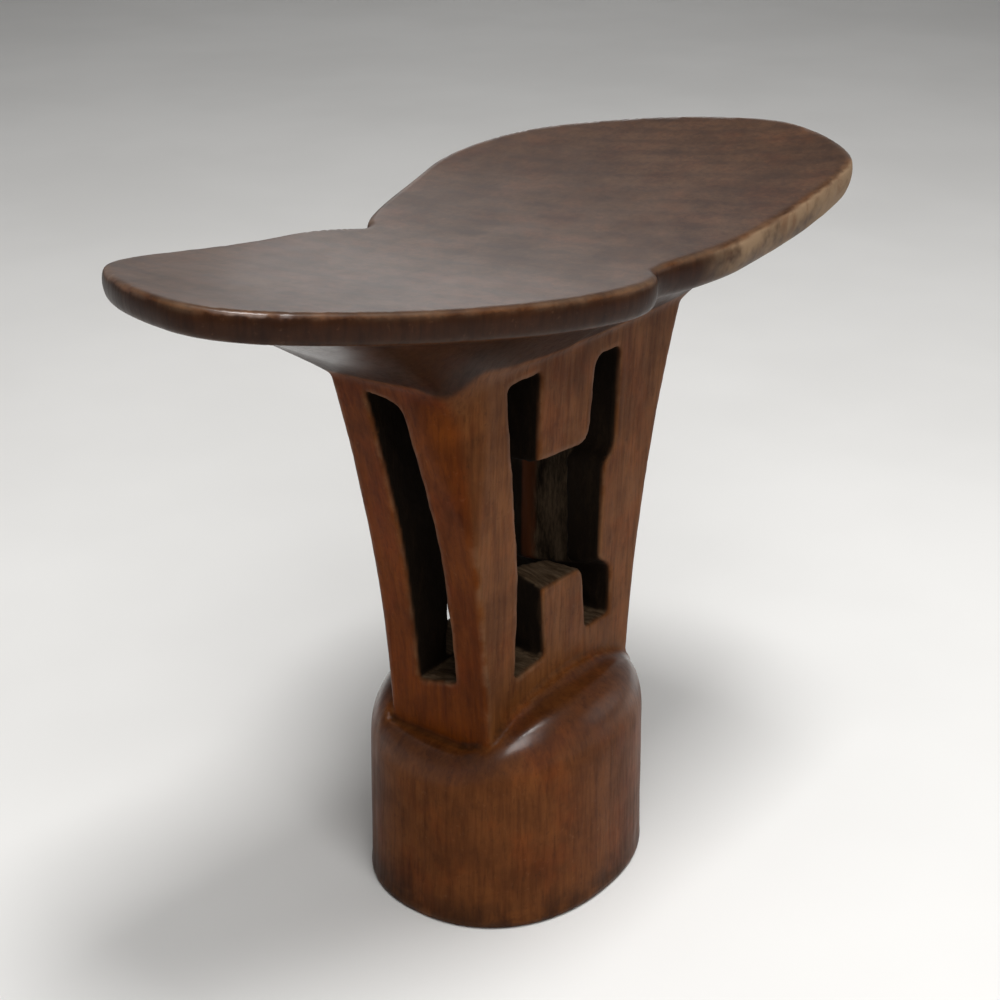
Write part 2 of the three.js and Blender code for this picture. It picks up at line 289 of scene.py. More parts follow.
@dataclass
class Plate:
    """The dished plate with two lobes, its rounded rim and its hollow underside.

    Attributes:
        valley_z: Height of the top in the middle.
        dish: Rise of the top per square millimetre of distance along X.
        rim, rim_growth: Thickness of the rim in the middle, and its growth along X.
        cove_z: Height at which the underside meets the post at its near left and far right corners.
        cove_tilt: Half of how much lower that is at the other two corners.
        tilt_span: What twice x times y comes to at those corners.
        cove_power: How hollow the underside is. 1 is straight.
        land: Width of the level strip inside the rim, under the plate.
        steepest: Greatest slope that the underside's field is measured with.
        face: Height of the rim's rounded face.
        swell: How far that face stands out at its upper edge, and what each millimetre and each square
            millimetre further down adds.
        edge_under, edge_top: Roundness of the rim's lower and upper edges.
        lobes: Upper edge of the rim as cubic curves from the near notch anticlockwise. The first point is
            where it starts, and each curve has two handles and an end.
        table: Directions, the rim's distance from the axis in each, and the cosine of its slant there.
    """

    post: Post
    valley_z: float = 176.0
    dish: float = 0.0009
    rim: float = 9.7
    rim_growth: float = 0.016
    cove_z: float = 152.8
    cove_tilt: float = 1.1
    tilt_span: float = 1860.0
    cove_power: float = 1.35
    land: float = 2.2
    steepest: float = 3.0
    face: float = 12.0
    swell: Triple = (0.5, 0.42, -0.062)
    edge_under: float = 2.2
    edge_top: float = 1.3
    lobes: tuple[tuple[float, float], ...] = (
        (-4.5, -42.0),
        (4.0, -39.5), (14.0, -46.0), (32.0, -46.1),
        (52.0, -46.2), (75.0, -46.5), (88.0, -44.2),
        (97.0, -42.6), (108.5, -22.0), (107.3, -10.0),
        (106.3, 4.0), (97.5, 26.0), (82.5, 43.8),
        (72.0, 56.5), (52.0, 61.0), (36.0, 55.8),
        (18.0, 49.8), (-6.0, 41.5), (-13.0, 35.0),
        (-14.5, 32.5), (-17.5, 31.5), (-19.5, 33.5),
        (-24.0, 38.5), (-30.0, 41.0), (-38.0, 41.4),
        (-60.0, 42.4), (-84.0, 51.6), (-95.3, 39.5),
        (-102.9, 30.6), (-106.6, 20.5), (-108.2, 9.1),
        (-109.2, 2.4), (-107.7, -5.8), (-93.4, -14.2),
        (-72.6, -26.3), (-23.0, -49.8), (-8.5, -45.2),
        (-6.0, -44.5), (-5.2, -43.0), (-4.5, -42.0),
    )  # fmt: skip
    table: tuple[Array, Array, Array] = field(init=False)

    def __post_init__(self) -> None:
        """Tabulate the rim's distance from the axis, and the slant of the rim to that direction."""
        p = np.array(self.lobes)
        t = np.linspace(0.0, 1.0, 60, endpoint=False)[:, None]
        shares = ((1 - t) ** 3, 3 * (1 - t) ** 2 * t, 3 * (1 - t) * t**2, t**3)
        runs = [sum(share * p[i + k] for k, share in enumerate(shares)) for i in range(0, len(p) - 1, 3)]
        outline = np.vstack(runs)
        angle = np.arctan2(outline[:, 1], outline[:, 0])
        order = np.argsort(angle)
        angle, reach = angle[order], np.hypot(*outline[order].T)
        even = np.linspace(-np.pi, np.pi, 2881)
        radius = np.interp(even, angle, reach, period=2 * np.pi)
        slope = np.gradient(radius, even) / radius
        slant = 1.0 / np.sqrt(1.0 + slope**2)
        soft = np.convolve(np.pad(slant, 12, mode="wrap"), np.ones(25) / 25.0, mode="valid")
        self.table = (even, radius, soft)

    def top_z(self, x: Array) -> Array:
        """Return the height of the top: a parabola along X."""
        return self.valley_z + self.dish * x * x

    def parts(self, x: Array, y: Array, z: Array) -> tuple[Array, Array, Array]:
        """Return the fields of the plate's three surfaces.

        Args:
            x, y, z: Points in millimetres.

        Returns:
            The height over the top, the distance out of the rim, and the depth under the hollow underside.
            The rim's face is a shallow parabola over its height, fullest a third of the way down. The
            underside climbs from the post to the rim by 1 less a power of the share of the way left to go.
        """
        angle = np.arctan2(y, x)
        r = np.hypot(x, y)
        radius = np.interp(angle, self.table[0], self.table[1])
        slant = np.interp(angle, self.table[0], self.table[2])
        rim_x = radius * np.cos(angle)
        rim_top = self.top_z(rim_x)
        above = z - self.top_z(x)
        depth = np.clip(rim_top - z, 0.0, self.face)
        swell = self.swell[0] + self.swell[1] * depth + self.swell[2] * depth * depth
        out = (r - radius - swell) * slant
        inner = self.post.reach(angle, self.cove_z)
        foot = self.cove_z + self.cove_tilt * (inner * inner * np.sin(2.0 * angle) / self.tilt_span - 1.0)
        width = radius - self.land - inner
        left = 1.0 - np.clip((r - inner) / width, -2.0, 1.0)
        rise = rim_top - self.rim - self.rim_growth * rim_x - foot
        hollow = foot + rise * (1.0 - left**self.cove_power)
        slope = self.cove_power * left ** (self.cove_power - 1.0) * rise / width
        under = (hollow - z) / np.sqrt(1.0 + np.minimum(slope, self.steepest) ** 2)
        return above, out, under

    def distance(self, x: Array, y: Array, z: Array) -> Array:
        """Return the field of the plate: its three surfaces joined with rounded edges."""
        above, out, under = self.parts(x, y, z)
        return smooth_max(smooth_max(under, out, self.edge_under), above, self.edge_top)


class Run(Enum):
    """The direction in which an opening runs through the post."""

    ALONG_X = "x"
    ALONG_Y = "y"


@dataclass
class Cut:
    """One opening: a flat outline carried along an axis between two places.

    Attributes:
        corners: The outline's corners as (across, up, how far from the corner its rounding starts).
        run: The direction in which the outline is carried.
        start, end: Where the opening starts and ends along that direction.
        step, margin: Spacing of the table, and how far it reaches past the outline.
        end_edge: Roundness of the edges at both ends.
        origin, table: Lowest corner of the table, and the distances to the outline in it.
    """

    corners: tuple[tuple[float, float, float], ...]
    run: Run
    start: float = -200.0
    end: float = 200.0
    step: float = 0.3
    margin: float = 9.0
    end_edge: float = 0.8
    origin: Array = field(init=False)
    table: Array = field(init=False)

    def __post_init__(self) -> None:
        """Tabulate the signed distance to the rounded outline on a fine grid."""
        outline = self.rounded()
        low, high = outline.min(0) - self.margin, outline.max(0) + self.margin
        u = np.arange(low[0], high[0], self.step)
        v = np.arange(low[1], high[1], self.step)
        gu, gv = np.meshgrid(u, v, indexing="ij")
        best = np.full_like(gu, 1e9)
        inside = np.zeros(gu.shape, bool)
        for a, b in zip(outline, np.roll(outline, -1, axis=0)):
            e = b - a
            along = np.clip(((gu - a[0]) * e[0] + (gv - a[1]) * e[1]) / (e @ e), 0.0, 1.0)
            best = np.minimum(best, np.hypot(gu - a[0] - along * e[0], gv - a[1] - along * e[1]))
            crosses = (a[1] > gv) != (b[1] > gv)
            at = a[0] + (gv - a[1]) * e[0] / (e[1] if e[1] else 1e-12)
            inside ^= crosses & (gu < at)
        self.origin = low
        self.table = np.where(inside, -best, best)

    def rounded(self) -> Array:
        """Return the outline with each corner replaced by a short quadratic curve."""
        points = np.array(self.corners)
        out = []
        t = np.linspace(0.0, 1.0, 5)[:, None]
        for i, (u, v, r) in enumerate(points):
            corner = np.array([u, v])
            back = points[i - 1, :2] - corner
            on = points[(i + 1) % len(points), :2] - corner
            a = corner + back * r / np.hypot(*back)
            b = corner + on * r / np.hypot(*on)
            out.append((1 - t) ** 2 * a + 2 * (1 - t) * t * corner + t**2 * b)
        return np.vstack(out)

    def outline(self, u: Array, v: Array) -> Array:
        """Return the signed distance to the outline by blending the four table values round each point."""
        i = np.clip((u - self.origin[0]) / self.step, 0.0, self.table.shape[0] - 1.001)
        j = np.clip((v - self.origin[1]) / self.step, 0.0, self.table.shape[1] - 1.001)
        i0, j0 = i.astype(int), j.astype(int)
        fi, fj = i - i0, j - j0
        low = mix(self.table[i0, j0], self.table[i0 + 1, j0], fi)
        high = mix(self.table[i0, j0 + 1], self.table[i0 + 1, j0 + 1], fi)
        return mix(low, high, fj)

    def distance(self, x: Array, y: Array, z: Array) -> Array:
        """Return the field of the opening: its outline cut off at both ends."""
        across, along = (y, x) if self.run is Run.ALONG_X else (x, y)
        ends = np.maximum(along - self.end, self.start - along)
        return smooth_max(self.outline(across, z), ends, self.end_edge)


@dataclass
class Openings:
    """The openings of the post: an H through the broad faces and a tall slot in each narrow face.

    Attributes:
        floor, top: Lower and upper ends of the H.
        tongue_low, tongue_high: Top of the low tongue and underside of the high one.
        tongue_left, tongue_right: Left and right edges of the low tongue's top.
        channel_floor, channel_top: Lower and upper ends of the slots.
        channel_end: How far the left slot runs in, along X.
        recess_end: How far in the right slot starts, along X.
        far_tongue: Edge of the low tongue on the far side, where the opening is wider.
        twist_near: Slope of the low tongue's top at its left and right ends, seen from the near side.
        twist_far: The same on the far side.
        face_y: Distance of the broad faces from the middle, low down.
        depths: How far in from a broad face the tongues go on changing, and the right part of the H.
        sink: Slope at which the right part of the H falls towards the far side, low down.
        dips: Slope at which the high tongue's underside and the floors dip inwards.
        join: Roundness of the edges where the openings meet.
    """

    floor: float = 68.5
    top: float = 148.0
    tongue_low: float = 89.0
    tongue_high: float = 123.5
    tongue_left: float = -10.4
    tongue_right: float = 8.6
    channel_floor: float = 66.2
    channel_top: float = 147.0
    channel_end: float = 17.9
    recess_end: float = 26.0
    far_tongue: float = -6.1
    twist_near: tuple[float, float] = (0.30, -0.10)
    twist_far: float = -0.15
    face_y: float = 17.0
    depths: tuple[float, float] = (11.0, 26.0)
    sink: float = 0.30
    dips: tuple[float, float] = (0.14, 0.10)
    join: float = 0.7
    cuts: tuple[Cut, ...] = field(init=False)

    def __post_init__(self) -> None:
        """Make the cuts from the named sizes."""
        letter_h = (
            (-20.6, self.floor - 1.0, 1.5),
            (-8.3, self.floor, 1.2),
            (self.tongue_left, self.tongue_low - 0.5, 1.0),
            (self.tongue_right, self.tongue_low - 1.0, 4.0),
            (10.8, self.floor + 0.5, 1.5),
            (21.5, self.floor + 0.5, 1.5),
            (21.5, 83.0, 3.0),
            (15.7, 87.0, 2.0),
            (15.7, 114.5, 2.0),
            (20.3, 117.5, 3.0),
            (20.3, self.top - 2.5, 2.5),
            (9.5, self.top - 2.5, 3.0),
            (8.1, self.tongue_high - 0.5, 5.0),
            (-14.5, self.tongue_high + 1.5, 1.0),
            (-14.5, self.top + 0.5, 1.5),
            (-27.8, self.top + 0.5, 2.0),
            (-24.6, 127.0, 6.0),
            (-21.0, 103.0, 8.0),
            (-20.0, 91.0, 4.0),
        )
        slot = (
            (-5.9, self.channel_floor + 1.7, 1.0),
            (5.8, self.channel_floor - 0.8, 1.0),
            (5.85, 107.0, 8.0),
            (7.4, 130.0, 8.0),
            (8.2, self.channel_top + 0.6, 1.0),
            (-1.8, self.channel_top - 0.4, 4.0),
            (-5.6, 109.0, 10.0),
        )
        wider = (
            (-19.5, self.floor + 0.3, 1.0),
            (self.far_tongue, self.floor + 0.4, 1.0),
            (self.far_tongue - 1.5, self.tongue_low + 3.0, 1.0),
            (-19.5, self.tongue_low + 3.0, 1.0),
        )
        self.cuts = (
            Cut(letter_h, Run.ALONG_Y),
            Cut(slot, Run.ALONG_X, end=self.channel_end),
            Cut(slot, Run.ALONG_X, start=self.recess_end),
            Cut(wider, Run.ALONG_Y, start=1.0),
        )

    def distance(self, x: Array, y: Array, z: Array) -> Array:
        """Return the field of all openings together.

        The top of the low tongue is twisted, the right part of the H falls towards the far side, and the
        underside of the high tongue and the floors dip inwards. So the height that the H is read at moves by
        each slope times the depth, within a bell of heights round the form that it shapes.
        """
        depth = np.clip(self.face_y - np.abs(y), 0.0, self.depths[0])
        across = (x - self.tongue_left) / (self.tongue_right - self.tongue_left)
        near = mix(*self.twist_near, np.clip(across, 0.0, 1.0))
        twist = np.where(y < 0.0, near, self.twist_far)
        left = depth * twist * bell(z, self.tongue_low, 7.0)
        right = -self.sink * np.clip(y + self.face_y, 0.0, self.depths[1])
        right = right * bell(z, self.tongue_low - 5.0, 12.0)
        high = self.dips[0] * bell(z, self.tongue_high + 0.5, 5.0)
        low = self.dips[1] * bell(z, self.floor - 1.5, 4.0)
        climb = mix(left, right, ease((x - 11.0) / 3.0)) - depth * (high + low)
        letter_h, channel, recess, wider = self.cuts
        total = letter_h.distance(x, y, z - climb)
        for cut in (channel, recess, wider):
            total = smooth_min(total, cut.distance(x, y, z), self.join)
        return total


@dataclass
class Wood:
    """The block of wood as a whole: all shapes joined, less the openings, with the marks of hand and use.

    Attributes:
        post, openings, base, plate: The shapes.
        blend, blend_corner: Width of the flow from plate to post, and what the worn corners add to it.
        corner_at, corner_reach: Where those corners are, and how far round them this works.
        blend_base: The same from base to post.
        mouth: Roundness of the edges of the openings.
        wander, ripple, facet: Heights of the slow and quick waves and of the tool facets of the surface.
        calm: Share of the quick waves and the facets that is left on the plate's top.
        stroke, tear, grit: Heights of the gouge strokes, the torn fibres and the roughness in the openings.
        trim: How far the finished surface stands inside the plain shapes, to leave room for the marks.
        dents: Small dents that use has left, each a place, a width and a depth.
    """

    post: Post = field(default_factory=Post)
    openings: Openings = field(default_factory=Openings)
    blend: float = 1.0
    blend_corner: float = 3.5
    corner_at: tuple[float, float] = (47.0, 18.0)
    corner_reach: float = 9.0
    blend_base: float = 0.8
    mouth: float = 1.3
    wander: float = 0.24
    ripple: float = 0.09
    facet: float = 0.16
    calm: float = 0.12
    stroke: float = 0.62
    tear: float = 0.38
    grit: float = 0.12
    trim: float = 0.25
    dents: tuple[tuple[float, ...], ...] = (
        (-97.0, -13.5, 184.0, 1.5, 0.7),
        (-60.0, -31.5, 171.5, 1.2, 0.5),
        (-3.0, -35.2, 4.5, 1.6, 0.5),
        (10.5, -34.2, 14.0, 1.4, 0.4),
        (12.5, -33.5, 10.5, 1.2, 0.5),
        (17.5, -31.5, 7.0, 2.2, 0.35),
        (-37.0, -14.8, 12.0, 1.2, 0.3),
        (23.5, -29.0, 26.0, 1.0, 0.3),
        (70.0, -47.5, 173.5, 2.6, 0.35),
        (20.0, -47.0, 170.0, 2.4, 0.4),
    )
    base: Base = field(init=False)
    plate: Plate = field(init=False)

    def __post_init__(self) -> None:
        """Make the base and the plate, which both need the post's sizes."""
        self.base = Base(self.post)
        self.plate = Plate(self.post)

    def body(self, x: Array, y: Array, z: Array) -> Array:
        """Return the field of the wood before the openings are cut.

        The plate flows into the post with a wide blend at the near left and far right corners and a narrow
        one elsewhere. The base meets the post in a crisp line.
        """
        corner = np.hypot(np.abs(x) - self.corner_at[0], np.abs(y) - self.corner_at[1])
        soft = self.blend + self.blend_corner * bell(corner, 0.0, self.corner_reach) * (x * y > 0)
        upper = smooth_min(self.plate.distance(x, y, z), self.post.distance(x, y, z), soft)
        return smooth_min(upper, self.base.distance(x, y, z), self.blend_base)

    def hand(self, x: Array, y: Array, z: Array) -> Array:
        """Return how far in the polished surface wanders from its plain shape, in millimetres.

        Two scales of smooth noise and very shallow scallops are added up. The plate's top is the smoothest.
        """
        slow = self.wander * value_noise(x / 42.0, y / 42.0, z / 42.0, 3)
        quick = self.ripple * value_noise(x / 13.0, y / 13.0, z / 17.0, 5)
        facets = self.facet * (scallops(x / 11.0, y / 11.0, z / 16.0, 7) - 0.3)
        return slow + (quick + facets) * mix(1.0, self.calm, ease((z - 168.0) / 6.0))

    def gouge(self, x: Array, y: Array, z: Array) -> Array:
        """Return how far the carved walls stand out from the plain openings, in millimetres.

        Slanting strokes cover the side walls, short strokes the floors and the tongues, and the end wall of
        the channel is torn along the upright grain.
        """
        lean = 0.55
        strokes = scallops((x + lean * z) / 3.6, y / 3.0, (z - lean * x) / 9.5, 11)
        torn = value_noise(x / 1.6, y / 1.1, z / 7.0, 13) + 0.6 * value_noise(x / 0.9, y / 0.7, z / 3.1, 17)
        end = bell(x, 17.0, 3.0) * (np.abs(y) < 7.5)
        rough = value_noise(x / 1.9, y / 1.9, z / 2.6, 19)
        cuts = self.stroke * (strokes - 0.35) * (1.0 - 0.6 * end)
        return cuts + self.tear * torn * end + self.grit * rough

    def nicks(self, x: Array, y: Array, z: Array) -> Array:
        """Return the depth of the small dents that use has left, in millimetres.

        Each dent is its depth times exp of minus the squared distance from its place in widths.
        """
        total = np.zeros_like(x)
        for px, py, pz, width, depth in self.dents:
            total = total + depth * np.exp(-((x - px) ** 2 + (y - py) ** 2 + (z - pz) ** 2) / width**2)
        return total

    def field(self, p: Array, marks: bool = True) -> Array:
        """Return the field of the finished wood: the body less the openings. The underside stays plain.

        Args:
            p: Points as rows of x, y, z in millimetres.
            marks: Whether the marks of tools, hand and use are included.

        Returns:
            Negative values inside the wood, positive values outside.
        """
        x, y, z = p.T
        body = self.body(x, y, z)
        cut = self.openings.distance(x, y, z)
        if marks:
            still = ease(z / 4.0)
            body = body + (self.hand(x, y, z) + self.nicks(x, y, z)) * still + self.trim * still
            cut = cut + self.gouge(x, y, z)
        return smooth_max(body, -cut, self.mouth)


@dataclass
class Net:
    """Turns a field into a mesh of four-sided faces whose points lie on it.

    Attributes:
        wood: The wood whose field is meshed.
        fine, coarse: Grid spacings in millimetres near the post and far from it.
        coarse_base: Spacing up the base.
        low, high: Opposite corners of the grid, just outside the wood.
        post_x, base_z: Where the fine spacing along X starts and ends, and where it starts along Z.
        turns: How often the points are settled: on the plain shapes, then with marks, then without evening.
        points, quads, normals: The mesh, and the field's direction at each point.
    """

    wood: Wood
    fine: float = 1.0
    coarse: float = 1.6
    coarse_base: float = 1.5
    low: Triple = (-113.2, -50.3, -1.9)
    high: Triple = (113.1, 61.7, 189.9)
    post_x: float = 50.0
    base_z: float = 44.0
    turns: tuple[int, int, int] = (2, 2, 2)
    points: Array = field(init=False)
    quads: Array = field(init=False)
    normals: Array = field(init=False)

    @staticmethod
    def spaced(stops: list[tuple[float, float]], end: float) -> Array:
        """Return grid lines from stops of (place, spacing), up to end."""
        lines = []
        for (start, gap), (stop, _) in zip(stops, stops[1:] + [(end, 0.0)]):
            count = max(1, round((stop - start) / gap))
            lines.append(np.linspace(start, stop, count, endpoint=False))
        return np.append(np.concatenate(lines), end)

    def build(self) -> None:
        """Sample the field, find the cells that it crosses, join them, and settle the points."""
        stops_x = [(self.low[0], self.coarse), (-self.post_x, self.fine), (self.post_x, self.coarse)]
        xs = self.spaced(stops_x, self.high[0])
        ys = self.spaced([(self.low[1], self.fine)], self.high[1])
        zs = self.spaced([(self.low[2], self.coarse_base), (self.base_z, self.fine)], self.high[2])
        grid = np.empty((len(xs), len(ys), len(zs)), np.float32)
        for i, x in enumerate(xs):
            gy, gz = np.meshgrid(ys, zs, indexing="ij")
            slab = np.stack([np.full(gy.size, x), gy.ravel(), gz.ravel()], axis=1)
            grid[i] = self.wood.field(slab, marks=False).reshape(gy.shape)
        self.cross(grid, (xs, ys, zs))
        for count, marks, relax in zip(self.turns, (False, True, True), (0.5, 0.5, 0.0)):
            for _ in range(count):
                self.settle(marks, relax)

    def cross(self, grid: Array, lines: tuple[Array, Array, Array]) -> None:
        """Put one point in each cell that the surface crosses, and one face on each crossed grid edge.

        A cell's point is the mean of the places where its twelve edges cross zero. A crossed grid edge joins
        the points of the four cells round it, turned so that the face looks outwards.
        """
        inside = grid < 0
        count = np.zeros([n - 1 for n in grid.shape], np.int8)
        for dx in (0, 1):
            for dy in (0, 1):
                for dz in (0, 1):
                    ends = (dx + count.shape[0], dy + count.shape[1], dz + count.shape[2])
                    count += inside[dx : ends[0], dy : ends[1], dz : ends[2]]
        cells = np.argwhere((count > 0) & (count < 8))
        index = np.full(count.shape, -1, np.int64)
        index[tuple(cells.T)] = np.arange(len(cells))
        total = np.zeros((len(cells), 3))
        hits = np.zeros(len(cells))
        for axis in range(3):
            others = [a for a in range(3) if a != axis]
            for d0 in (0, 1):
                for d1 in (0, 1):
                    a = cells.copy()
                    a[:, others[0]] += d0
                    a[:, others[1]] += d1
                    b = a.copy()
                    b[:, axis] += 1
                    fa, fb = grid[tuple(a.T)], grid[tuple(b.T)]
                    crossed = (fa < 0) != (fb < 0)
                    t = np.where(crossed, fa / np.where(crossed, fa - fb, 1.0), 0.0)
                    pa = np.stack([lines[k][a[:, k]] for k in range(3)], axis=1)
                    pb = np.stack([lines[k][b[:, k]] for k in range(3)], axis=1)
                    total += np.where(crossed, 1.0, 0.0)[:, None] * (pa + (pb - pa) * t[:, None])
                    hits += crossed
        self.points = total / hits[:, None]
        faces = []
        for axis in range(3):
            u, v = (axis + 1) % 3, (axis + 2) % 3
            near = [slice(1, -1)] * 3
            near[axis] = slice(0, -1)
            far = list(near)
            far[axis] = slice(1, None)
            a, b = inside[tuple(near)], inside[tuple(far)]
            for flip, mask in ((False, a & ~b), (True, ~a & b)):
                at = np.argwhere(mask)
                at[:, u] += 1
                at[:, v] += 1
                ring = []
                for du, dv in ((-1, -1), (0, -1), (0, 0), (-1, 0)):
                    cell = at.copy()
                    cell[:, u] += du
                    cell[:, v] += dv
                    ring.append(index[tuple(cell.T)])
                faces.append(np.stack(ring[::-1] if flip else ring, axis=1))
        self.quads = np.concatenate(faces)

    def edges(self) -> Array:
        """Return the two points at the ends of each side of each face."""
        return np.concatenate([self.quads[:, [i, (i + 1) % 4]] for i in range(4)])

    @staticmethod
    def around(value: Array, edges: Array) -> Array:
        """Return, for each point, the mean of a value over the points that edges join it to."""
        total = np.bincount(edges[:, 0], value[edges[:, 1]], len(value))
        total += np.bincount(edges[:, 1], value[edges[:, 0]], len(value))
        return total / np.bincount(edges.ravel(), minlength=len(value))

    def gradient(self, p: Array, marks: bool) -> Array:
        """Return the field's slope at each point by differences over a fifth of a millimetre."""
        slope = np.empty_like(p)
        for axis in range(3):
            step = np.zeros(3)
            step[axis] = 0.1
            slope[:, axis] = (self.wood.field(p + step, marks) - self.wood.field(p - step, marks)) / 0.2
        return slope

    def settle(self, marks: bool, relax: float) -> None:
        """Even out the points along the surface, move them onto the field, and let none go under the floor.

        Args:
            marks: Whether the field includes the tool marks.
            relax: Share of the way that each point moves towards the middle of its neighbours.
        """
        p = self.points
        slope = self.gradient(p, marks)
        length = np.linalg.norm(slope, axis=1, keepdims=True)
        normal = slope / np.maximum(length, 1e-6)
        if relax:
            edges = self.edges()
            shift = np.stack([self.around(p[:, k], edges) for k in range(3)], axis=1) - p
            shift -= normal * (shift * normal).sum(1, keepdims=True)
            p = p + relax * shift
        for _ in range(2):
            value = self.wood.field(p, marks)[:, None]
            p = p - normal * np.clip(value / np.maximum(length, 0.3), -0.7, 0.7)
        p[:, 2] = np.maximum(p[:, 2], 0.0)
        self.points = p
        self.normals = normal

    def bend(self) -> Array:
        """Return how convex the surface is at each point: positive on edges, negative in creases.

        For each mesh edge it is the turn of the normals along the edge divided by its length, and the values
        are averaged over each point's edges and then twice more over its neighbours.
        """
        p, n = self.points, self.normals
        edges = self.edges()
        d = p[edges[:, 1]] - p[edges[:, 0]]
        turn = ((n[edges[:, 1]] - n[edges[:, 0]]) * d).sum(1) / np.maximum((d * d).sum(1), 0.05)
        total = np.bincount(edges[:, 0], turn, len(p)) + np.bincount(edges[:, 1], turn, len(p))
        value = total / np.bincount(edges.ravel(), minlength=len(p))
        for _ in range(2):
            value = 0.4 * value + 0.6 * self.around(value, edges)
        return value


# Values at each point that the finish reads

MASKS = (
    "inner", "deep", "edge", "hollow", "top", "rim", "under",
    "narrow", "base", "crown", "floor", "torn", "strip",
)  # fmt: skip


def window(value: Array, middle: float, half: float, soft: float) -> Array:
    """Return 1 where value is near middle, falling to 0 at half away over the width soft."""
    return ease((half - np.abs(value - middle)) / soft)


@dataclass
class Masks:
    """Works out, for each point of the net, which part it lies on, its wear, and where shade or light is
    painted.

    Attributes:
        wood, net: The shapes and their mesh.
        torn_x, torn_y: Where the torn end wall of the channel is, and half its width.
        strip_x, strip_y: Where the polished strip beside it is.
        under_from, rim_from, top_from: Heights above which a point can lie under the plate, on its rim or on
            its top.
        base_to, floor_to: Heights below which it can lie on the base or on a cut floor.
    """

    wood: Wood
    net: Net
    torn_x: float = 17.6
    torn_y: float = 6.6
    # strip_x, strip_y: Where the lighter strip beside it is, a painted patch of light on that wall.
    strip_x: float = 16.2
    strip_y: float = 7.2
    under_from: float = 120.0
    rim_from: float = 150.0
    top_from: float = 160.0
    base_to: float = 62.0
    floor_to: float = 100.0

    def build(self) -> dict[str, Array]:
        """Return the masks by name, each a value from 0 to 1 for each point.

        Each is an eased step, or a product of them, on a point's place, on how far it is in or out of one of
        the fields, on how far its normal leans, or on the bend of the surface.
        """
        p, n = self.net.points, self.net.normals
        x, y, z = p.T
        body = self.wood.body(x, y, z)
        cut = self.wood.openings.distance(x, y, z)
        above, out, _ = self.wood.plate.parts(x, y, z)
        off_post = self.wood.post.distance(x, y, z)
        beyond = ease((off_post - 0.7) / 1.2)
        high = np.where(z > self.under_from, beyond, 0.0)
        inner = ease(0.5 + (-cut - body - 0.3) / 1.8)
        bend = self.net.bend()
        top = ease((above + 2.2) / 1.6) * ease((n[:, 2] - 0.35) / 0.4) * (z > self.top_from)
        rim = ease((out + 1.6) / 1.2) * (1.0 - top) * (z > self.rim_from)
        base = ease(0.5 - (self.wood.base.distance(x, y, z) - off_post)) * (z < self.base_to)
        values = (
            inner,
            # Deep inside the openings, which the finish paints darker as painted shade.
            inner * ease(-body / 9.0),
            ease((bend - 0.04) / 0.4),
            # Creases, which the finish paints darker as painted shade.
            ease((-bend - 0.02) / 0.3),
            top,
            rim,
            # Under the plate, which the finish paints very dark as painted shade.
            high * (1.0 - top) * (1.0 - rim) * (1.0 - inner),
            # The narrow faces, picked by the way they face, painted darker and redder than the broad ones as
            # painted shade.
            (1.0 - beyond) * ease((np.abs(n[:, 0]) - 0.5) / 0.3) * (1.0 - inner),
            base,
            # The base's shoulder: polished, and painted darker as the plate's painted shadow.
            base * ease((n[:, 2] - 0.10) / 0.5) * ease((off_post - 0.6) / 2.2),
            ease((n[:, 2] - 0.55) / 0.3) * inner * (z < self.floor_to),
            window(x, self.torn_x, 1.6, 0.8) * window(y, 0.0, self.torn_y, 0.8) * inner,
            # A painted patch of light on the inner wall beside the channel's end.
            window(x, self.strip_x, 2.0, 0.6) * window(y, self.strip_y, 1.9, 0.9) * inner,
        )
        return dict(zip(MASKS, values))


# Finishes


@dataclass(frozen=True)
class WoodFinish:
    """Colours and gloss of the dense, handled wood.

    The first block holds colours, the second tones that darken or warm a colour they multiply, and the third
    roughness and the shader's other fixed values.
    """

    # One wood: broad faces painted lighter and greyer as sheen, narrow darker and redder as painted shade.
    broad: Colour = (0.168, 0.060, 0.016)
    narrow: Colour = (0.145, 0.034, 0.002)
    base: Colour = (0.140, 0.045, 0.010)
    top: Colour = (0.068, 0.030, 0.012)
    # Painted shade: the plate's underside is painted far darker than the wood.
    under: Colour = (0.032, 0.011, 0.003)
    rim: Colour = (0.034, 0.011, 0.003)
    worn: Colour = (0.25, 0.165, 0.098)
    amber: Colour = (0.30, 0.10, 0.02)
    stain: Colour = (0.085, 0.024, 0.007)
    # Dark rough wood, painted darker than it is as shade inside the openings.
    carved: Colour = (0.030, 0.017, 0.008)
    chip: Colour = (0.088, 0.058, 0.034)
    # The next colour is a lighter, redder patch painted as light falling on one inner wall.
    strip: Colour = (0.062, 0.018, 0.006)
    fleck: Colour = (0.30, 0.15, 0.075)
    # This colour darkens specks, pores and the foot, and is painted shade in creases and deep in openings.
    dirt_and_shade: Colour = (0.007, 0.004, 0.002)

    cloud_tone: Colour = (0.50, 0.44, 0.40)
    patch_tone: Colour = (0.55, 0.46, 0.40)
    streak_tone: Colour = (0.52, 0.42, 0.36)
    fibre_tone: Colour = (0.52, 0.45, 0.40)
    ring_tone: Colour = (0.50, 0.42, 0.36)
    glow_tone: Colour = (1.45, 0.95, 0.55)
    # The next tone darkens the base's shoulder as the plate's painted shadow.
    crown_shadow_tone: Colour = (0.56, 0.52, 0.50)

    gloss: float = 0.36
    raw: float = 0.78
    ior: float = 1.45
    specular: float = 0.07
    wax_roughness: float = 0.26
    bump_strength: float = 0.35
    bump_distance: float = 0.0004


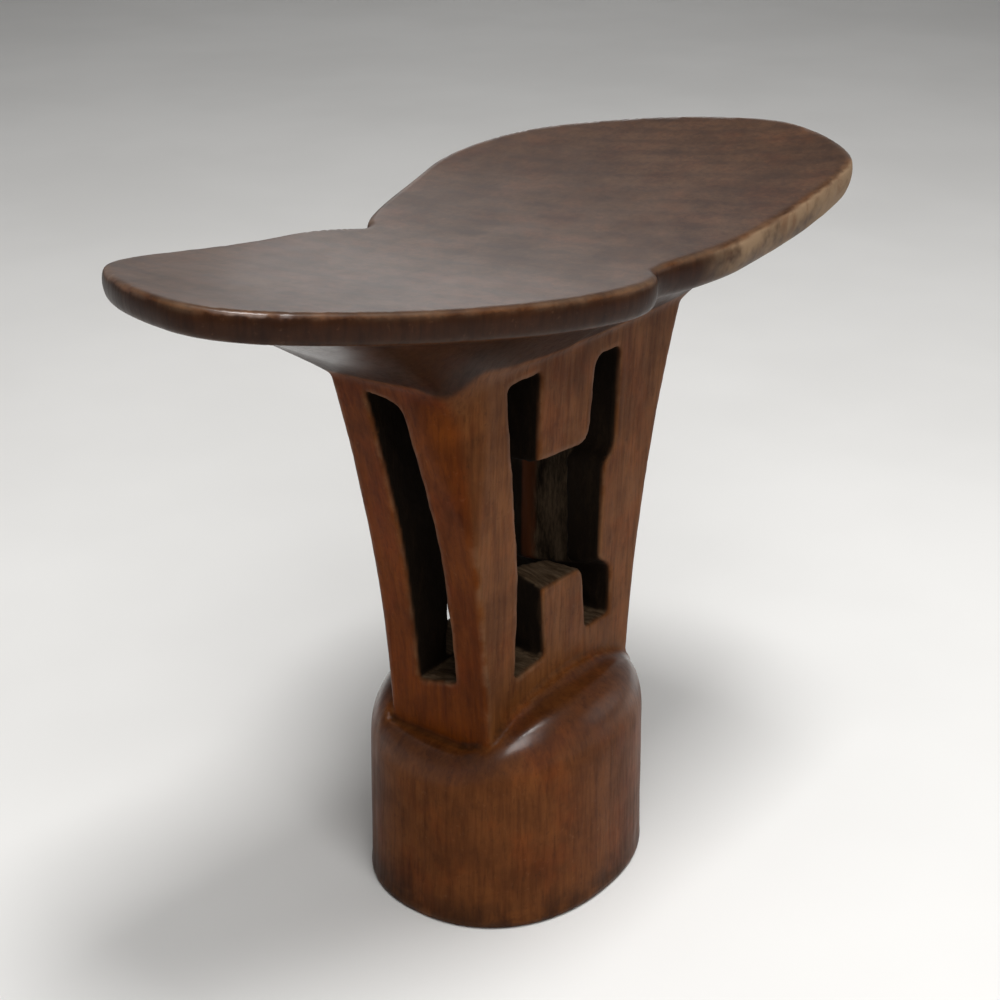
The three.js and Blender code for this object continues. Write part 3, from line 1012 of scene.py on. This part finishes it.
class Graph:
    """Short ways to add nodes to one node tree and to join them."""

    def __init__(self, tree: bpy.types.NodeTree) -> None:
        """Keep the tree that nodes are added to."""
        self.tree = tree

    def add(self, kind: str, **values: object) -> bpy.types.Node:
        """Add a node and set its properties.

        Args:
            kind: Blender's name for the node type.
            **values: Properties by name.

        Returns:
            The new node.
        """
        node = self.tree.nodes.new(kind)
        for name, value in values.items():
            setattr(node, name, value)
        return node

    def feed(self, socket: Socket, value: object) -> None:
        """Link a socket into another, or set a plain number or colour on it."""
        if isinstance(value, bpy.types.NodeSocket):
            self.tree.links.new(value, socket)
        elif isinstance(value, tuple) and len(value) == 3 and socket.type == "RGBA":
            socket.default_value = (*value, 1.0)
        else:
            socket.default_value = value

    def fill(self, node: bpy.types.Node, **values: object) -> bpy.types.Node:
        """Feed values to a node's inputs, named as in Blender with _ for a space, and return the node."""
        for name, value in values.items():
            self.feed(node.inputs[name.replace("_", " ")], value)
        return node

    def mask(self, name: str) -> Socket:
        """Return the named value that the mesh carries at each point."""
        return self.add("ShaderNodeAttribute", attribute_name=name).outputs["Fac"]

    def math(self, operation: str, a: object, b: object = 0.0, c: object = 0.0) -> Socket:
        """Return the result of a Math node on up to three numbers or sockets."""
        node = self.add("ShaderNodeMath", operation=operation)
        for socket, value in zip(node.inputs, (a, b, c)):
            self.feed(socket, value)
        return node.outputs[0]

    def times(self, a: object, b: object) -> Socket:
        """Return a times b."""
        return self.math("MULTIPLY", a, b)

    def rest(self, a: object) -> Socket:
        """Return 1 less a."""
        return self.math("SUBTRACT", 1.0, a)

    def band(self, value: object, low: float, high: float, to: tuple[float, float] = (0.0, 1.0)) -> Socket:
        """Return value taken smoothly from the range low to high onto the range to."""
        node = self.add("ShaderNodeMapRange", interpolation_type="SMOOTHSTEP")
        self.fill(node, Value=value, From_Min=low, From_Max=high, To_Min=to[0], To_Max=to[1])
        return node.outputs["Result"]

    def blend(self, share: object, a: object, b: object, mode: str = "MIX") -> Socket:
        """Return colour a taken towards colour b by share, in one of Blender's blend modes."""
        node = self.add("ShaderNodeMix", data_type="RGBA", blend_type=mode)
        for place, value in ((0, share), (6, a), (7, b)):
            self.feed(node.inputs[place], value)
        return node.outputs[2]

    def stretch(self, scale: Triple = (1.0, 1.0, 1.0), turn: Triple = (0.0, 0.0, 0.0)) -> Socket:
        """Return object coordinates turned and stretched, for patterns that run along the grain."""
        node = self.add("ShaderNodeMapping")
        place = self.add("ShaderNodeTexCoord").outputs["Object"]
        return self.fill(node, Vector=place, Rotation=turn, Scale=scale).outputs["Vector"]

    def noise(
        self, vector: Socket, scale: float, detail: float = 3.0, rough: float = 0.55, bend: float = 0.0
    ) -> Socket:
        """Return the grey value of a Noise Texture."""
        node = self.add("ShaderNodeTexNoise")
        self.fill(node, Vector=vector, Scale=scale, Detail=detail, Roughness=rough, Distortion=bend)
        return node.outputs["Fac"]


@dataclass
class WoodMaterial:
    """The node material of the whole headrest, driven by the masks and by patterns along the grain.

    Attributes:
        finish: The colours and gloss.
        g: Adds nodes to the material's tree.
        at, at_x, at_z: Object coordinates, and their parts along X and Z.
        mask: What the mesh carries at each point, by name.
        cloud, patch, fibre, streak, torn: Grey patterns. The last three are drawn out along the grain.
        crown: Where the rubbed shoulder of the base is, which also carries the plate's painted shadow.
        bare: Where the polish is worn off the right lobe's rim.
    """

    finish: WoodFinish = field(default_factory=WoodFinish)
    g: Graph = field(init=False)
    at: Socket = field(init=False)
    at_x: Socket = field(init=False)
    at_z: Socket = field(init=False)
    mask: dict[str, Socket] = field(init=False)
    cloud: Socket = field(init=False)
    patch: Socket = field(init=False)
    fibre: Socket = field(init=False)
    streak: Socket = field(init=False)
    torn: Socket = field(init=False)
    crown: Socket = field(init=False)
    bare: Socket = field(init=False)

    def build(self) -> bpy.types.Material:
        """Return the finished material."""
        material = bpy.data.materials.new("handled_wood")
        material.use_nodes = True
        material.node_tree.nodes.clear()
        g = self.g = Graph(material.node_tree)
        f = self.finish
        self.read()
        colour = g.blend(self.mask["inner"], self.wear(self.figure(self.ground())), self.carving())
        bump = g.add("ShaderNodeBump")
        g.fill(bump, Strength=f.bump_strength, Distance=f.bump_distance, Height=self.relief())
        shader = g.add("ShaderNodeBsdfPrincipled")
        g.fill(shader, IOR=f.ior, Specular_IOR_Level=f.specular, Coat_Roughness=f.wax_roughness)
        g.fill(shader, Base_Color=colour, Roughness=self.gloss(), Coat_Weight=self.wax())
        g.fill(shader, Normal=bump.outputs["Normal"])
        out = g.add("ShaderNodeOutputMaterial")
        g.fill(out, Surface=shader.outputs["BSDF"])
        return material

    def read(self) -> None:
        """Read the coordinates and the masks, and lay out the patterns that more than one step uses."""
        g = self.g
        self.at = g.stretch()
        parts = g.fill(g.add("ShaderNodeSeparateXYZ"), Vector=self.at)
        self.at_x, self.at_z = parts.outputs["X"], parts.outputs["Z"]
        self.mask = {name: g.mask(name) for name in MASKS}
        self.cloud = g.noise(self.at, 45.0, 4.0, 0.6)
        self.patch = g.noise(self.at, 120.0, 3.0, 0.6, 0.5)
        self.fibre = g.noise(g.stretch((1.0, 1.0, 0.10)), 620.0, 4.0, 0.6, 0.4)
        self.streak = g.noise(g.stretch((1.0, 1.0, 0.14)), 150.0, 4.0, 0.6, 0.6)
        self.torn = g.noise(g.stretch((1.0, 1.0, 0.25)), 420.0, 4.0, 0.7)
        self.crown = g.times(self.mask["base"], self.mask["crown"])
        right_rim = g.times(self.mask["rim"], g.band(self.at_x, 0.012, 0.026))
        self.bare = g.times(right_rim, g.band(g.noise(self.at, 60.0, 4.0), 0.28, 0.50))

    def ground(self) -> Socket:
        """Return each part's colour: painted sheen and shade on the post's faces, painted shade under the
        plate.
        """
        f = self.finish
        colour = f.broad
        paints = {"narrow": f.narrow, "base": f.base, "top": f.top, "rim": f.rim, "under": f.under}
        for name, paint in paints.items():
            colour = self.g.blend(self.mask[name], colour, paint)
        return colour

    def rings(self) -> Socket:
        """Return the growth rings: rings round an upright line off to one side."""
        g = self.g
        shifted = g.fill(g.add("ShaderNodeMapping"), Vector=self.at, Location=(-0.190, -0.050, 0.0))
        rings = g.add("ShaderNodeTexWave", wave_type="RINGS", rings_direction="Z", wave_profile="SIN")
        g.fill(rings, Vector=shifted.outputs["Vector"], Scale=34.0)
        g.fill(rings, Distortion=4.5, Detail=3.0, Detail_Scale=0.7)
        return rings.outputs["Fac"]

    def figure(self, colour: Socket) -> Socket:
        """Return a colour with the wood's own pattern: clouds, streaks, fibres, rings, flecks and pores."""
        g, f = self.g, self.finish
        on_top = g.math("MULTIPLY_ADD", self.mask["top"], 0.8, 0.2)
        tones = (
            (g.band(self.cloud, 0.38, 0.66, (0.0, 0.58)), f.cloud_tone),
            (g.band(self.patch, 0.40, 0.70, (0.0, 0.30)), f.patch_tone),
            (g.band(self.streak, 0.45, 0.70, (0.0, 0.50)), f.streak_tone),
            (g.band(self.fibre, 0.38, 0.68, (0.0, 0.55)), f.fibre_tone),
            (g.times(g.band(self.rings(), 0.45, 1.0, (0.0, 0.38)), on_top), f.ring_tone),
        )
        for share, tone in tones:
            colour = g.blend(share, colour, tone, "MULTIPLY")
        fleck = g.noise(self.at, 650.0, 3.0, 0.65)
        pores = g.noise(g.stretch((1.0, 1.0, 0.16)), 1500.0, 2.0, 0.5)
        colour = g.blend(g.band(fleck, 0.60, 0.80, (0.0, 0.12)), colour, f.fleck)
        colour = g.blend(g.band(g.rest(fleck), 0.58, 0.72, (0.0, 0.22)), colour, f.dirt_and_shade)
        colour = g.blend(g.band(pores, 0.56, 0.72, (0.0, 0.20)), colour, f.dirt_and_shade)
        glow = g.times(g.band(g.noise(self.at, 70.0, 4.0, 0.65), 0.45, 0.7), 0.35)
        return g.blend(glow, colour, f.glow_tone, "MULTIPLY")

    def wear(self, colour: Socket) -> Socket:
        """Return a colour with wear (pale rim, rubbed edges, scuffs), a darker foot, and painted shade on
        shoulder and creases.
        """
        g, f = self.g, self.finish
        edge, rim = self.mask["edge"], self.mask["rim"]
        # Painted shadow: the base's shoulder is darkened where the plate shades it.
        colour = g.blend(g.times(self.crown, 0.75), colour, f.crown_shadow_tone, "MULTIPLY")
        # The right lobe's rim is worn pale, with dark stains left on it.
        stained = g.times(self.bare, g.band(g.noise(self.at, 110.0, 5.0, 0.6, 0.8), 0.50, 0.68))
        colour = g.blend(g.times(self.bare, 0.95), colour, f.worn)
        colour = g.blend(g.times(stained, 0.5), colour, f.stain)
        # Rubbed edges are lighter in places and amber in others, less so on the rim.
        pale = g.times(edge, g.band(g.noise(self.at, 140.0, 3.0), 0.35, 0.65))
        warm = g.times(edge, g.band(g.noise(self.at, 60.0, 2.0), 0.50, 0.65))
        warm = g.times(warm, g.math("MULTIPLY_ADD", rim, -0.8, 0.8))
        colour = g.blend(g.times(pale, 0.30), colour, f.worn)
        colour = g.blend(g.times(warm, 0.28), colour, f.amber)
        # Dry scuffs lie low down on the right of the base.
        dry = g.band(g.noise(self.at, 420.0, 5.0, 0.75), 0.52, 0.66)
        scuffs = g.times(dry, g.band(self.at_x, 0.004, 0.026))
        scuffs = g.times(scuffs, g.rest(g.band(self.at_z, 0.014, 0.030)))
        colour = g.blend(g.times(scuffs, 0.30), colour, f.worn)
        # The foot is darker towards the bottom, unevenly, and the creases get painted shade.
        foot = g.rest(g.band(self.at_z, 0.001, 0.012))
        foot = g.times(foot, g.band(self.patch, 0.3, 0.6, (0.1, 0.6)))
        colour = g.blend(foot, colour, f.dirt_and_shade)
        # Painted shade in the creases.
        return g.blend(g.times(self.mask["hollow"], 0.7), colour, f.dirt_and_shade)

    def carving(self) -> Socket:
        """Return the carved walls' colour: dry and dark, painted darker as shade, with lighter torn fibres
        and cut floors.
        """
        g, f = self.g, self.finish
        cuts = g.noise(g.stretch((1.0, 0.16, 0.6), (0.0, 0.0, 0.25)), 700.0, 4.0, 0.65)
        raw = g.blend(g.band(self.torn, 0.45, 0.75, (0.0, 0.35)), f.dirt_and_shade, f.carved)
        # Walls deep in the openings are painted darker as painted shade.
        raw = g.blend(g.times(self.mask["deep"], 0.45), raw, f.dirt_and_shade)
        raw = g.blend(self.mask["torn"], raw, g.blend(g.band(self.torn, 0.25, 0.8), f.dirt_and_shade, f.chip))
        raw = g.blend(self.mask["floor"], raw, g.blend(g.band(cuts, 0.35, 0.7), f.carved, f.chip))
        # Painted light: a lighter, redder strip on one inner wall.
        return g.blend(self.mask["strip"], raw, f.strip)

    def gloss(self) -> Socket:
        """Return the roughness: cloudy, dull where the polish is worn off, and raw in the openings."""
        g, f = self.g, self.finish
        rough = g.band(self.cloud, 0.3, 0.7, (f.gloss - 0.02, f.gloss + 0.08))
        fibres = g.times(g.band(self.fibre, 0.4, 0.8, (0.0, 0.10)), g.rest(self.mask["top"]))
        inside = g.times(self.mask["inner"], f.raw - f.gloss)
        for share in (fibres, g.times(self.bare, 0.15), inside):
            rough = g.math("ADD", rough, share)
        return rough

    def relief(self) -> Socket:
        """Return the height of fibres and streaks, faint on the top, and of torn fibres in the openings."""
        g = self.g
        height = g.math("ADD", g.times(self.fibre, 0.35), g.times(self.streak, 0.5))
        height = g.times(height, g.math("MULTIPLY_ADD", self.mask["top"], -0.85, 1.0))
        return g.math("ADD", height, g.times(g.times(self.torn, self.mask["inner"]), 2.5))

    def wax(self) -> Socket:
        """Return how polished each part is: most on the top and on the shoulder, none where it is bare."""
        g, mask = self.g, self.mask
        left_end = g.math("SUBTRACT", 0.62, g.band(self.at_x, -0.076, -0.052, (0.0, 0.57)))
        wax = g.math("MULTIPLY_ADD", self.crown, 0.85, g.times(mask["base"], 0.03))
        for name, share in (("rim", 0.16), ("under", left_end), ("top", 0.72)):
            wax = g.math("ADD", wax, g.times(mask[name], share))
        return g.times(wax, g.rest(self.bare))


# The object and its surroundings


@dataclass
class Headrest:
    """The one piece of wood as a Blender object."""

    wood: Wood = field(default_factory=Wood)

    def build(self) -> bpy.types.Object:
        """Mesh the field, carry the masks onto the mesh, and dress it."""
        net = Net(self.wood)
        net.build()
        masks = Masks(self.wood, net).build()
        mesh = bpy.data.meshes.new("headrest_wood")
        count = len(net.quads)
        mesh.vertices.add(len(net.points))
        mesh.vertices.foreach_set("co", (net.points * MM).astype(np.float32).ravel())
        mesh.loops.add(4 * count)
        mesh.loops.foreach_set("vertex_index", net.quads.astype(np.int32).ravel())
        mesh.polygons.add(count)
        mesh.polygons.foreach_set("loop_start", np.arange(0, 4 * count, 4, dtype=np.int32))
        mesh.update(calc_edges=True)
        mesh.validate()
        mesh.polygons.foreach_set("use_smooth", np.ones(len(mesh.polygons), bool))
        for name, values in masks.items():
            layer = mesh.attributes.new(name, "FLOAT", "POINT")
            layer.data.foreach_set("value", np.asarray(values, np.float32))
        piece = bpy.data.objects.new("headrest_wood", mesh)
        bpy.context.collection.objects.link(piece)
        mesh.materials.append(WoodMaterial().build())
        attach(piece, "root")
        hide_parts("headrest")
        LOG.info("headrest_wood: %d points, %d faces", len(mesh.vertices), len(mesh.polygons))
        return piece


@dataclass(frozen=True)
class Lamp:
    """A rectangular lamp that faces the middle of the headrest.

    Attributes:
        name: Name of the lamp.
        place: Where it hangs, in metres.
        size: Its width and height in metres.
        watts: Its power.
    """

    name: str
    place: Triple
    size: tuple[float, float]
    watts: float

    def hang(self, aim: Triple) -> None:
        """Add the lamp to the scene and turn it to the place aim."""
        data = bpy.data.lights.new(self.name, "AREA")
        data.shape = "RECTANGLE"
        data.size, data.size_y = self.size
        data.energy = self.watts
        lamp = bpy.data.objects.new(self.name, data)
        lamp.location = self.place
        way = Vector(aim) - Vector(self.place)
        lamp.rotation_euler = way.to_track_quat("-Z", "Y").to_euler()
        bpy.context.collection.objects.link(lamp)


@dataclass
class Studio:
    """A pale floor, soft lamps, the air round them and the camera.

    Attributes:
        eye: Where the camera stands, in metres.
        yaw, pitch, roll: Its heading from X, its tilt down and its lean, in radians.
        lens, film: Its focal length and film width in millimetres.
        clip: How near and how far it sees, in metres.
        aim: The place that the lamps face.
        floor_half: Half the width of the floor.
        floor_tones, floor_roughness: The two tones of its mottle, and how dull it is.
        air, air_span: Strength of the light from low down all round and from overhead, and the upward
            parts of a direction between which it changes.
        lamps: The key light at the front left, two overhead, one at the right, and a strip far behind that
            puts a soft sheen on the top.
    """

    eye: Triple = (-0.352333, -0.256826, 0.302466)
    yaw: float = 0.638
    pitch: float = 0.4249
    roll: float = 0.0038
    lens: float = 66.743
    film: float = 36.0
    clip: tuple[float, float] = (0.01, 50.0)
    aim: Triple = (0.0, 0.0, 0.09)
    floor_half: float = 6.0
    floor_tones: tuple[Colour, Colour] = ((0.74, 0.73, 0.71), (0.78, 0.77, 0.75))
    floor_roughness: float = 0.75
    air: tuple[float, float] = (0.36, 0.13)
    air_span: tuple[float, float] = (0.10, 0.62)
    lamps: tuple[Lamp, ...] = (
        Lamp("key", (-0.42, -0.56, 0.95), (0.60, 0.60), 6.6),
        Lamp("overhead", (0.10, 0.10, 1.20), (0.90, 0.90), 2.0),
        Lamp("shoulder_light", (0.0, -0.15, 1.10), (0.30, 0.30), 8.0),
        Lamp("right_front", (0.90, -0.75, 0.45), (0.50, 0.50), 0.4),
        Lamp("far_strip", (1.30, 0.92, 0.44), (0.55, 0.12), 0.36),
    )

    def build(self) -> None:
        """Make the floor, the lamps, the air and the camera."""
        self.floor()
        for lamp in self.lamps:
            lamp.hang(self.aim)
        self.surround()
        self.camera()
        bpy.context.scene.view_settings.view_transform = "Standard"

    def surround(self) -> None:
        """Light the air by height: it glows low down all round and is dim overhead."""
        world = bpy.data.worlds.new("studio_air")
        world.use_nodes = True
        g = Graph(world.node_tree)
        way = g.add("ShaderNodeTexCoord").outputs["Generated"]
        up = g.fill(g.add("ShaderNodeSeparateXYZ"), Vector=way).outputs["Z"]
        back = world.node_tree.nodes["Background"]
        g.fill(back, Color=(1.0, 1.0, 1.0), Strength=g.band(up, *self.air_span, self.air))
        bpy.context.scene.world = world

    def floor(self) -> None:
        """Lay a large flat floor with a faint mottle."""
        mesh = bpy.data.meshes.new("studio_floor")
        s = self.floor_half
        mesh.from_pydata([(-s, -s, 0), (s, -s, 0), (s, s, 0), (-s, s, 0)], [], [(0, 1, 2, 3)])
        floor = bpy.data.objects.new("studio_floor", mesh)
        bpy.context.collection.objects.link(floor)
        material = bpy.data.materials.new("pale_floor")
        material.use_nodes = True
        g = Graph(material.node_tree)
        tone = g.blend(g.band(g.noise(g.stretch(), 6.0, 3.0), 0.3, 0.7), *self.floor_tones)
        g.fill(material.node_tree.nodes["Principled BSDF"], Base_Color=tone, Roughness=self.floor_roughness)
        mesh.materials.append(material)

    def camera(self) -> None:
        """Set the camera as it stood for the photograph."""
        level = cos(self.pitch)
        forward = Vector((cos(self.yaw) * level, sin(self.yaw) * level, -sin(self.pitch)))
        right = Vector((sin(self.yaw), -cos(self.yaw), 0.0))
        up = right.cross(forward)
        tilted = right * cos(self.roll) + up * sin(self.roll)
        up = up * cos(self.roll) - right * sin(self.roll)
        data = bpy.data.cameras.new("photo_camera")
        data.lens, data.sensor_width = self.lens, self.film
        data.clip_start, data.clip_end = self.clip
        camera = bpy.data.objects.new("photo_camera", data)
        turn = Matrix((tilted, up, -forward)).transposed().to_4x4()
        camera.matrix_world = Matrix.Translation(self.eye) @ turn
        bpy.context.collection.objects.link(camera)
        bpy.context.scene.camera = camera


def main() -> None:
    """Build the headrest and its surroundings."""
    logging.basicConfig(level=logging.INFO, format="%(name)s: %(message)s")
    Headrest().build()
    Studio().build()


if __name__ == "__main__":
    main()
